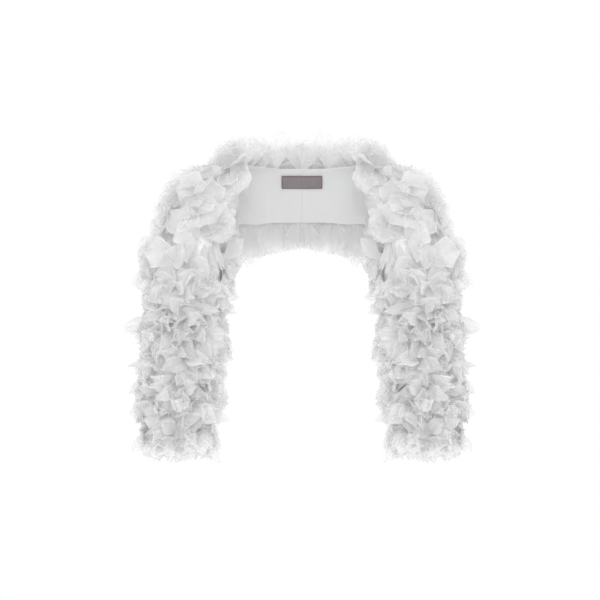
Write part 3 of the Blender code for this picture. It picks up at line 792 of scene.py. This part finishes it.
def drawIn(petals):
    # petals past the outline or over the open lining are laid flatter, cut shorter or left out
    for _ in range(drawInSet["passes"]):
        for k in np.flatnonzero(reachTooFar(petals)):
            petal = petals[k]
            petal["length"] *= drawInSet["shorter"]
            petal["width"] *= drawInSet["narrower"]
            for key in ("leanRoot", "leanTip"):
                petal[key] += np.clip(drawInSet[key] - petal[key], 0, drawInSet["flatter"])
    far = reachTooFar(petals)
    print(len(petals) - far.sum(), "of", len(petals), "petals kept")
    return [petal for petal, isFar in zip(petals, far) if not isFar]


def clothFrame(point, across, down, inside):  # a place on the outside of the cloth, the ways out and down
    down = unit(down)
    out = unit(np.cross(unit(across), down))
    if np.dot(out, point - inside) < 0:
        out = -out
    return point + out * clothThick, out, down


def sleeveFrame(run, degrees):
    step, turn = nearby["run"], nearby["turn"]
    around = sleeveSpot(1, run, degrees + turn) - sleeveSpot(1, run, degrees - turn)
    down = sleeveSpot(1, run + step, degrees) - sleeveSpot(1, run - step, degrees)
    middle = (sleeveSpot(1, run, 0.0) + sleeveSpot(1, run, 180.0)) / 2
    return clothFrame(sleeveSpot(1, run, degrees), around, down, middle)


frontTurns = np.linspace(-170, -4, 84)
frontSpots = np.concatenate([
    yokePoint(1, *np.meshgrid(np.linspace(neckPoint, len(yokeRows) - 1, 41), frontTurns)).reshape(-1, 3),
    sleevePoint(1, *np.meshgrid(sleeveSteps, frontTurns)).reshape(-1, 3),
])


def frontSpot(x, z):  # the nearest place on the front of the garment, on the outside of its cloth
    off = np.hypot(frontSpots[:, 0] - x, frontSpots[:, 2] - z)
    return frontSpots[np.argmin(off)] + towardsViewer * clothThick


def layPetal(dice, root, tip, style, width):  # bent to an arc that clears the rounded cloth
    petal = aimPetal(dice, root, tip, style, width)
    sink = 0.0
    for share in (0.25, 0.5, 0.75):
        spot = root + (tip - root) * share
        sink = max(sink, spot[1] - frontSpot(spot[0], spot[2])[1] + rosetteSet["clear"])
    bow = min(math.degrees(4 * sink / petal["length"]), rosetteSet["mostBow"])
    petal["leanRoot"] += bow
    petal["leanTip"] -= bow
    petal["length"] *= 1 + math.radians(bow) ** 2 / 6
    return petal


def rosettePetals(dice, rosette):
    (x, z), tips = rosette
    middle = frontSpot(x / 1000, z / 1000)
    petals = []
    spots = []
    for tipX, tipZ, width in np.array(tips) / 1000:
        spot = frontSpot(tipX, tipZ)
        spot[0], spot[2] = tipX, tipZ
        tip = spot + towardsViewer * pick(dice, rosetteSet["lift"])
        root = middle + (tip - middle) * rosetteSet["foot"]
        petals.append(layPetal(dice, root, tip, broadStyle, width))
        spots.append(spot)
    for spot, after, width in zip(spots, spots[1:] + spots[:1], np.array(tips)[:, 2] / 1000):
        between = spot + (after - spot) * pick(dice, rosetteSet["between"])
        lift = towardsViewer * pick(dice, rosetteSet["innerLift"])
        tip = middle + (between - middle) * pick(dice, rosetteSet["innerReach"]) + lift
        root = middle + (tip - lift - middle) * rosetteSet["innerFoot"]  # over the other petals' roots
        width = width * pick(dice, rosetteSet["innerWide"])
        petals.append(layPetal(dice, root, tip, innerStyle, width))
    return petals


def veilPetals(dice, veils):
    petals = []
    for rootX, rootZ, x, z, width in np.array(veils) / 1000:
        root = frontSpot(rootX, rootZ)
        tip = np.array([x, frontSpot(x, z)[1] - pick(dice, sleeveSet["veilLift"]), z])
        petals.append(layPetal(dice, root, tip, veilStyle, width))
    return petals


def sleeveRow(depth):
    return int(np.clip(round(depth / sleeveSet["rowPitch"]), 0, sleeveSet["rowCount"] - 1))


def ringTufts(dice, rows):
    plan = sleeveSet
    total, end = sleeveRun[-1], plan["endGap"]
    last = total - plan["lastRing"]
    rings = np.append(np.arange(plan["firstRing"], last, plan["ringStep"]), last)
    for number, run in enumerate(rings):
        circle = sleeveSpot(1, run, np.linspace(0, 360, plan["ringPoints"]))
        girth = np.linalg.norm(np.diff(circle, axis=0), axis=1).sum()
        count = int(round(girth / plan["spacing"]))
        for k in range(count):
            turn = k + 0.5 * (number % 2) + dice.uniform(-plan["turnStray"], plan["turnStray"])
            degrees = 360 * turn / count
            here = np.clip(run + dice.uniform(-1, 1) * plan["stray"], end, total - end)
            stretch = np.linalg.norm(sleeveSpot(1, here + end, degrees) - sleeveSpot(1, here - end, degrees))
            kept = dice.uniform() < plan["fullness"] * stretch / (2 * end)
            root, out, down = sleeveFrame(here, degrees)
            share = (here - plan["shoulderEnd"]) / (plan["forearmStart"] - plan["shoulderEnd"])
            share = np.clip(share, 0, 1)
            style = mixStyles(shoulderStyle, forearmStyle, share)
            style = fanOut(style, abs(math.cos(math.radians(degrees))))
            if root[1] < plainArea["front"] and root[2] > plainArea["low"]:
                style = plainStyle
            fan = plan["fan"] - plan["fanLess"] * share
            if number == len(rings) - 1:  # the cuff's tufts hang over its edge
                style = dict(style, length=plan["cuffLength"])
                fan = plan["cuffFan"]
            tuft = growTuft(dice, root, out, down, style, fan)
            bare = (root > underarmBare["low"]).all() and (root < underarmBare["high"]).all()
            if kept and not bare:
                rows[sleeveRow(here - plan["firstRow"])] += tuft


def coverTufts(dice, rows):  # flat petals down the outer side, under the others
    plan = sleeveSet
    strayRun, strayTurn = plan["coverStray"]
    for run in np.arange(*plan["coverRuns"]):
        here = run + dice.uniform(-strayRun, strayRun)
        degrees = dice.choice(plan["coverTurns"]) + dice.uniform(-strayTurn, strayTurn)
        tuft = growTuft(dice, *sleeveFrame(here, degrees), plainStyle, plan["coverFan"])
        rows[sleeveRow(here - plan["firstRow"])] += tuft


def singlePetals(dice, rows):
    plan = sleeveSet

    def aimed(rootZ, root, tip, style, width):
        row = rows[sleeveRow(-rootZ - plan["rowDrop"])]
        row.append(aimPetal(dice, root, tip, style, width))

    for x, z, rootZ, degrees, width in np.array(sleeveTips) / (1000, 1000, 1000, 1, 1000):
        line = sleevePoint(1, sleeveSteps, degrees)
        root = sleevePoint(1, np.interp(-rootZ, -line[:, 2], sleeveSteps), degrees)
        aimed(rootZ, root, np.array([x, root[1] + pick(dice, plan["tipDeep"]), z]), tipStyle, width)
    for rootX, rootZ, x, y, z, width in np.array(shoulderFans) / 1000:
        aimed(rootZ, frontSpot(rootX, rootZ), np.array([x, y, z]), broadStyle, width)
    for rootX, rootZ, x, z, width in np.array(sleeveCurls) / 1000:
        root = frontSpot(rootX, rootZ) + towardsViewer * plan["curlFoot"]
        aimed(rootZ, root, np.array([x, root[1] - pick(dice, plan["curlStand"]), z]), curlStyle, width)
    for rosette in rosettes:
        rows[sleeveRow(-rosette[0][1] / 1000 - plan["rowDrop"])] += rosettePetals(dice, rosette)
    rows[0] += veilPetals(dice, shoulderVeils)
    for fold in np.array(underarmFolds) / 1000:
        rows[plan["foldRow"]].append(aimPetal(dice, fold[:3], fold[3:6], foldStyle, fold[6]))
    rows[0] += veilPetals(dice, armholeVeils)


def sleevePetals():
    dice = np.random.default_rng(sleeveSet["seed"])
    rows = [[] for _ in range(sleeveSet["rowCount"])]
    ringTufts(dice, rows)
    coverTufts(np.random.default_rng(sleeveSet["coverSeed"]), rows)
    rows = [drawIn(petals) if petals else petals for petals in rows]
    singlePetals(dice, rows)
    return rows


# the back's tufts lie in rows across it; the neck's petals stand up in fans and the hem's hang
fanStyle = dict(
    broadStyle, peak=(0.65, 0.92), tipWide=(0.50, 0.85), roll=(0, 16), thin=(0.4, 0.8), fold=(0.0, 0.2),
    kink=(0.03, 0.15), tuck=(0.0, 0.3), skew=(0.0, 0.8), tooth=(0.0, 0.04), ruffle=(0.0006, 0.002),
)
# half of the neck's and the hem's fans: root x and place down the back, tip x, depth and z, width,
# in millimetres and thousandths
neckFans = [
    (3, 30, 17, 62, 52, 38), (24, 50, 20, 72, 52, 44), (45, 30, 31, 58, 67, 36),
    (45, 50, 52, 66, 53, 40), (47, 30, 69, 56, 46, 34), (68, 60, 66, 76, 50, 42),
    (88, 30, 74, 56, 61, 40), (90, 50, 96, 64, 57, 44), (94, 40, 115, 50, 48, 40),
    (12, 100, 4, 88, 44, 50), (80, 100, 86, 88, 48, 48), (50, 100, 46, 90, 46, 46),
]
hemFans = [
    (4, 950, 12, 100, -130, 46), (18, 940, 22, 104, -136, 52), (34, 960, 36, 96, -130, 50),
    (50, 940, 54, 106, -142, 56), (66, 970, 70, 90, -146, 52), (82, 940, 86, 102, -148, 58),
    (96, 970, 100, 86, -150, 52), (110, 940, 116, 94, -150, 54), (124, 960, 128, 78, -146, 48),
    (28, 900, 30, 116, -120, 58), (68, 900, 72, 112, -128, 60), (106, 900, 112, 104, -130, 58),
]
# the hem's lower line, x and z in millimetres, that its wisps reach to
hemLine = np.array([
    (0, -146), (14, -149), (27, -139), (41, -150), (54, -157), (68, -159), (84, -166), (102, -168),
    (130, -160),
]) / 1000
hemWisps = dict(
    step=0.0100, spread=1.03, least=0.001, reach=0.132, down=(0.90, 0.98), stray=0.012,
    short=(0.0, 0.016), deep=(0.078, 0.112), width=(0.026, 0.042),
)
wispStyle = dict(
    tipStyle, thin=(1.0, 1.0), roll=(0, 18), kink=(0.0, 0.10), curl=(-15, 15), tipWide=(0.20, 0.55),
    gather=(0.0004, 0.0012), tooth=(0.0, 0.05), ruffle=(0.0005, 0.002),
)
# rows: place down the back, reach to one side, half of the fan's spread and where it points
backTufts = dict(
    seed=21, spacing=0.050, starts=(0.05, 0.5), stray=0.03, within=(0.02, 0.97), aside=(0, 0.006),
    rows=[
        (0.22, 0.140, 180.0, 0.0), (0.45, 0.145, 180.0, 0.0), (0.67, 0.145, 150.0, 180.0),
        (0.88, 0.140, 115.0, 180.0),
    ],
)


def backFrame(x, down):
    step, aside = nearby["down"], nearby["x"]
    downward = backPoint(x, min(down + step, 1.0)) - backPoint(x, max(down - step, 0.0))
    across = backPoint(x + aside, down) - backPoint(x - aside, down)
    return clothFrame(backPoint(x, down), across, downward, bodyMiddle + (x, 0, 0))


def fanPetals(dice, fans):
    petals = []
    for x, down, tipX, tipY, tipZ, width in np.array(fans) / 1000:
        root = backFrame(x, down)[0]
        petals.append(aimPetal(dice, root, np.array([tipX, tipY, tipZ]), fanStyle, width))
    return petals


def wispPetals(dice):
    petals = []
    for x in np.arange(hemWisps["step"] / 2, hemWisps["reach"], hemWisps["step"]):
        root = backFrame(x, pick(dice, hemWisps["down"]))[0]
        tipX = max(x * hemWisps["spread"] + dice.uniform(-1, 1) * hemWisps["stray"], hemWisps["least"])
        tipZ = np.interp(tipX, hemLine[:, 0], hemLine[:, 1]) + pick(dice, hemWisps["short"])
        tip = np.array([tipX, pick(dice, hemWisps["deep"]), tipZ])
        petals.append(aimPetal(dice, root, tip, wispStyle, pick(dice, hemWisps["width"])))
    return petals


def backPetals():  # one half, mirrored about the centre back
    plan = backTufts
    dice = np.random.default_rng(plan["seed"])
    rows = []
    for number, (place, reach, fan, fanAt) in enumerate(plan["rows"]):
        petals = []
        for x in np.arange(plan["spacing"] * plan["starts"][number % 2], reach, plan["spacing"]):
            down = np.clip(place + dice.uniform(-plan["stray"], plan["stray"]), *plan["within"])
            frameHere = backFrame(x + pick(dice, plan["aside"]), down)
            petals += growTuft(dice, *frameHere, shoulderStyle, fan, fanAt)
        rows.append(drawIn(petals))
    neck = rows[:1] + [fanPetals(dice, neckFans)]
    return neck, rows[1:] + [fanPetals(dice, hemFans), wispPetals(dice)]


# front tufts along the crescent, in steps from the shoulder seam round to its lower end
frontSet = dict(steps=6, across=(0.30, 0.80), ends=(0.1, 0.7), seed=31)


def frontFrame(edgePlace, across):
    step = nearby["place"]
    downward = frontPoint(1, edgePlace + step, across) - frontPoint(1, edgePlace - step, across)
    span = frontPoint(1, edgePlace, across + step) - frontPoint(1, edgePlace, across - step)
    return clothFrame(frontPoint(1, edgePlace, across), span, downward, armholeMiddle)


def frontPetals():
    dice = np.random.default_rng(frontSet["seed"])
    petals = []
    first, last = frontSet["ends"]
    for edgePlace in np.linspace(neckPoint + first, len(yokeRows) - 1 - last, frontSet["steps"]):
        for across in frontSet["across"]:
            petals += growTuft(dice, *frontFrame(edgePlace, across), plainStyle)
    return drawIn(petals) + rosettePetals(dice, frontRosette)


sleeveRowPetals = sleevePetals()
frontRowPetals = frontPetals()
sleeveParts = (("shoulder", 0, 3, softOrganza), ("upper", 3, 7, organza), ("lower", 7, 11, organza))
for side, word in bothSides:
    for part, first, last, cloth in sleeveParts:
        nodes = [f"petal_row_{word}_{row + 1:02d}" for row in range(first, last)]
        petalPiece(f"petals_{word}_{part}", sum(sleeveRowPetals[first:last], []), nodes, (side,), cloth)
    petalPiece(f"petals_front_{word}", frontRowPetals, [f"petal_row_front_{word}"], (side,), softOrganza)
neckRows, hemRows = backPetals()
for name, rows, nodes in (("petals_neck", neckRows, (1, 2)), ("petals_hem", hemRows, (3, 4))):
    petalPiece(name, sum(rows, []), [f"petal_row_back_{row}" for row in nodes], (1, -1))

# sleeve shells, with soft folds: run and girth place of each end, half width, height
shellSet = dict(rows=110, columns=72, girth=0.34, fade=0.02, folds=[
    (0.11, 0.06, 0.17, 0.11, 0.010, 0.0016), (0.13, 0.20, 0.20, 0.15, 0.012, -0.0020),
    (0.22, 0.03, 0.27, 0.10, 0.011, 0.0018), (0.24, 0.27, 0.30, 0.22, 0.009, -0.0015),
    (0.30, 0.12, 0.37, 0.19, 0.013, -0.0022), (0.33, 0.28, 0.41, 0.33, 0.010, 0.0014),
    (0.40, 0.05, 0.46, 0.08, 0.012, -0.0017), (0.42, 0.16, 0.48, 0.15, 0.009, 0.0012),
])


def sleeveShell(side, word):
    runs = np.linspace(0, sleeveRun[-1], shellSet["rows"])
    degrees = np.linspace(0, 360, shellSet["columns"], endpoint=False)
    run, angle = np.meshgrid(runs, degrees, indexing="ij")
    grid = sleeveSpot(side, run, angle)
    normals = gridNormals(grid, grid[len(grid) // 2].mean(axis=0), True)
    fade = np.clip(np.minimum(run, sleeveRun[-1] - run) / shellSet["fade"], 0, 1)
    relief = softLines(run, angle / 360 * shellSet["girth"], shellSet["folds"]) * fade
    inner = grid + normals * relief[..., None]
    outer = inner + normals * clothThick
    nodes = [f"sleeve_{word}_outer", f"sleeve_{word}_under"]
    clothPiece(f"sleeve_{word}", nodes, inner, outer, baseCloth, True)


for side, word in bothSides:
    sleeveShell(side, word)

# stitches along the edges of the lining and the ends of the label
stitchSet = dict(
    long=0.0026, gap=0.0009, thick=0.00022, rings=5, sides=6, fromEdge=0.0030, liningEnds=(8, -3),
)


def alongLine(run, line, at):
    return np.array([np.interp(at, run, line[:, axis]) for axis in range(3)])


def stitchPiece(name, lines, material):
    # short raised threads along each line; a line is its points and the way out of the cloth
    look = stitchSet
    along = np.linspace(-1, 1, look["rings"])
    around = np.linspace(0, 2 * math.pi, look["sides"], endpoint=False)
    points, faces, uvs = [], [], []
    one = gridFaces(look["rings"], look["sides"], True)
    for path, ways in lines:
        run = runAlong(path)
        pitch = look["long"] + look["gap"]
        for middle in np.arange(pitch / 2, run[-1] - pitch / 2, pitch):
            before, spot, after = (alongLine(run, path, middle + step) for step in (-1e-4, 0, 1e-4))
            way = unit(alongLine(run, ways, middle))
            aim = unit(after - before)
            side = np.cross(way, aim)
            wide = look["thick"] * np.sqrt(1.02 - along**2)
            ring = side * np.cos(around)[:, None] + way * (0.4 + np.sin(around))[:, None]
            centre = spot + aim * (along * look["long"] / 2)[:, None]
            faces.append(one + len(points) * look["rings"] * look["sides"])
            points.append(centre[:, None, :] + ring * wide[:, None, None])
            uvs.append(np.stack(np.meshgrid(around / (2 * math.pi), (along + 1) / 2)[::-1], axis=-1))
    addPiece(name, np.array(points), np.concatenate(faces), np.array(uvs), material)


def lineAcross(grid, run, at):  # the line of points that lie one distance down the cloth
    return np.array([alongLine(run[:, k], grid[:, k], at) for k in range(grid.shape[1])])


# back cloth and its lining; the lining meets at the centre back with one pressed seam allowance
backSet = dict(rows=48, columns=121, reach=0.1498)
liningShape = dict(
    cloth=0.0010, rows=60, seamRoll=0.0004, seamRollWide=0.0010, allowance=0.0085, allowanceHigh=0.00035,
    allowanceSoft=0.0006, hemBand=0.009, hemHigh=0.0004, hemSoft=0.0008, far=(0.0125, 0.1497, 58),
    near=(0.00006, 0.0006, 0.0011, 0.0018, 0.0028, 0.0042, 0.006, 0.0074, 0.0082, 0.009, 0.0102), folds=[
        (0.020, 0.120, 0.085, 0.108, 0.007, 0.0012), (0.055, 0.085, 0.098, 0.092, 0.005, 0.0010),
        (0.015, 0.098, 0.040, 0.132, 0.008, 0.0013), (0.070, 0.040, 0.100, 0.046, 0.006, 0.0007),
        (0.078, 0.064, 0.100, 0.061, 0.004, 0.0008),
    ],
)


def backShell():
    x = np.linspace(-backSet["reach"], backSet["reach"], backSet["columns"])
    down, across = np.meshgrid(np.linspace(0, 1, backSet["rows"]), x, indexing="ij")
    grid = backPoint(across, down)
    normals = gridNormals(grid, bodyMiddle)
    clothPiece("back_cloth", ["back"], grid, grid + normals * clothThick, baseCloth)


def liningHalf(side, word):
    shape = liningShape
    x = np.concatenate([shape["near"], np.linspace(*shape["far"])])  # closer columns at the seam
    down, across = np.meshgrid(np.linspace(0, 1, shape["rows"]), side * x, indexing="ij")
    grid = backPoint(across, down)
    normals = gridNormals(grid, bodyMiddle)
    run = runAlong(grid)
    fromHem = run[-1:] - run
    out = np.abs(across)
    lift = softLines(run, out, shape["folds"])
    lift = lift - shape["seamRoll"] * np.exp(-((out / shape["seamRollWide"]) ** 2)) + shape["seamRoll"]
    if side > 0:
        past = (out - shape["allowance"]) / shape["allowanceSoft"]
        lift = lift + shape["allowanceHigh"] / (1 + np.exp(past))
    past = (fromHem - shape["hemBand"]) / shape["hemSoft"]
    lift = lift + shape["hemHigh"] / (1 + np.exp(past))
    lift = np.maximum(lift, 0)
    outer = grid - normals * (seamGap + lift[..., None])
    inner = outer - normals * shape["cloth"]
    clothPiece(f"lining_{word}", [f"back_lining_{word}"], inner, outer, liningSatin)
    at, sewn = stitchSet["fromEdge"], slice(*stitchSet["liningEnds"])
    neckLine = (lineAcross(inner, run, at)[sewn], -lineAcross(normals, run, at)[sewn])
    lowLine = (lineAcross(inner[::-1], fromHem[::-1], at)[sewn], -normals[-2, sewn])
    stitchPiece(f"lining_stitches_{word}", [neckLine, lowLine], whiteThread)


frontCloth = dict(rows=15, columns=41, end=0.6)


def frontShell(side, word):
    places = np.linspace(neckPoint, len(yokeRows) - 1 - frontCloth["end"], frontCloth["columns"])
    across, place = np.meshgrid(np.linspace(0, 1, frontCloth["rows"]), places, indexing="ij")
    grid = frontPoint(side, place, across)
    normals = gridNormals(grid, armholeMiddle * (side, 1, 1))
    outer = grid + normals * clothThick
    clothPiece(f"front_cloth_{word}", [f"front_{word}"], grid, outer, baseCloth)


backShell()
for side, word in bothSides:
    liningHalf(side, word)
for side, word in bothSides:
    frontShell(side, word)

# bare woven label, sewn down at its ends
labelSet = dict(
    width=0.070, top=-0.0072, height=0.0215, cloth=0.0008, lift=0.0031, bow=0.0005, rows=21, columns=57,
)


def labelPoint(x, z):
    place = np.interp(np.abs(x), yokeAcross, yokeSteps)
    row = rowAt(yokeRows, place)
    degrees = np.degrees(np.arccos((z - row[..., 2]) / row[..., 4]))
    return yokePoint(np.where(x < 0, -1.0, 1.0), place, degrees)


def labelPiece():
    shape = labelSet
    half = shape["width"] / 2
    x = np.linspace(-half, half, shape["columns"])
    z = np.linspace(shape["top"], shape["top"] - shape["height"], shape["rows"])
    down, across = np.meshgrid(z, x, indexing="ij")
    grid = labelPoint(across, down)
    normals = gridNormals(grid, bodyMiddle)
    bow = shape["bow"] * np.cos(across / half * np.pi / 2) * np.sin(4 * np.pi * (across / half + 0.3)) ** 2
    outer = grid - normals * (shape["lift"] + bow[..., None])
    inner = outer - normals * shape["cloth"]
    uvs = np.stack(np.meshgrid(np.linspace(0, 1, len(x)), np.linspace(1, 0, len(z))), axis=-1)
    clothPiece("label_ribbon", ["label"], inner, outer, labelRibbon, uvs=uvs)
    ends = [(inner[1:-1, k], -normals[1:-1, k]) for k in (1, -2)]
    stitchPiece("label_stitches", ends, brownThread)


labelPiece()
print("cloth pieces made")
# studio: a white floor and backdrop, even light from all round and three soft lamps
studioSet = dict(
    backdrop=1.0, worldLow=0.47, worldHigh=0.74, worldRise=(-0.6, 0.6), worldBehind=0.44,
    behindRise=(0.1, 0.9), floorSize=12.0, floorAt=-1.12, floorRough=0.8, floorGlow=0.35,
    floorDark=(0.93, 0.93, 0.93, 1), floorLight=(0.96, 0.96, 0.96, 1),
    lamps=[  # name, power, size, place
        ("soft_left", 6.0, 1.0, (1.2, -0.9, 0.80)), ("soft_right", 6.0, 1.0, (-1.2, -0.9, 0.80)),
        ("soft_front", 33.0, 1.4, (0.0, -3.1, 1.0)),
    ],
    lampsAim=(0.0, 0.0, -0.2),
)


def makeStudio():
    world = bpy.data.worlds.new("studio")
    world.use_nodes = True
    world.node_tree.nodes.clear()
    start = Wire(world.node_tree)
    shown = start.add("ShaderNodeLightPath").out("Is Camera Ray")
    heading = start.add("ShaderNodeSeparateXYZ", {}, {0: start.add("ShaderNodeTexCoord").out("Generated")})
    low, high = studioSet["worldLow"], studioSet["worldHigh"]
    strength = low + heading.out("Z").between(*studioSet["worldRise"]) * (high - low)
    strength = strength + heading.out("Y").between(*studioSet["behindRise"]) * studioSet["worldBehind"]
    even = start.add("ShaderNodeBackground", {}, {"Strength": strength})
    white = start.add("ShaderNodeBackground", {}, {"Strength": studioSet["backdrop"]})
    for background in (even, white):
        background.socket.node.inputs["Color"].default_value = (1, 1, 1, 1)
    light = start.add("ShaderNodeMixShader", {}, {0: shown, 1: even, 2: white})
    start.add("ShaderNodeOutputWorld", {}, {"Surface": light})
    scene.world = world
    for name, power, size, place in studioSet["lamps"]:
        lamp = bpy.data.lights.new(name, "AREA")
        lamp.energy, lamp.size = power, size
        holder = bpy.data.objects.new(name, lamp)
        holder.location = place
        aim = Vector(studioSet["lampsAim"]) - Vector(place)
        holder.rotation_euler = aim.to_track_quat("-Z", "Y").to_euler()
        holder.visible_camera = False
        scene.collection.objects.link(holder)
    material, start = newMaterial("floor_white")
    place = start.add("ShaderNodeTexCoord").out("Object")
    colour = place.noise(3.0, 3.0).mix(studioSet["floorDark"], studioSet["floorLight"])
    given = {"Base Color": colour, "Roughness": studioSet["floorRough"], "Emission Color": (1, 1, 1, 1)}
    plainFinish(start, dict(given, **{"Emission Strength": studioSet["floorGlow"]}))
    half = studioSet["floorSize"] / 2
    mesh = bpy.data.meshes.new("floor")
    corners = [(-half, -half, 0), (half, -half, 0), (half, half, 0), (-half, half, 0)]
    mesh.from_pydata(corners, [], [(0, 1, 2, 3)])
    mesh.materials.append(material)
    floor = bpy.data.objects.new("floor", mesh)
    floor.location = (0, 0, studioSet["floorAt"])
    scene.collection.objects.link(floor)


makeStudio()
scene.view_settings.view_transform = "Standard"
print("studio made")
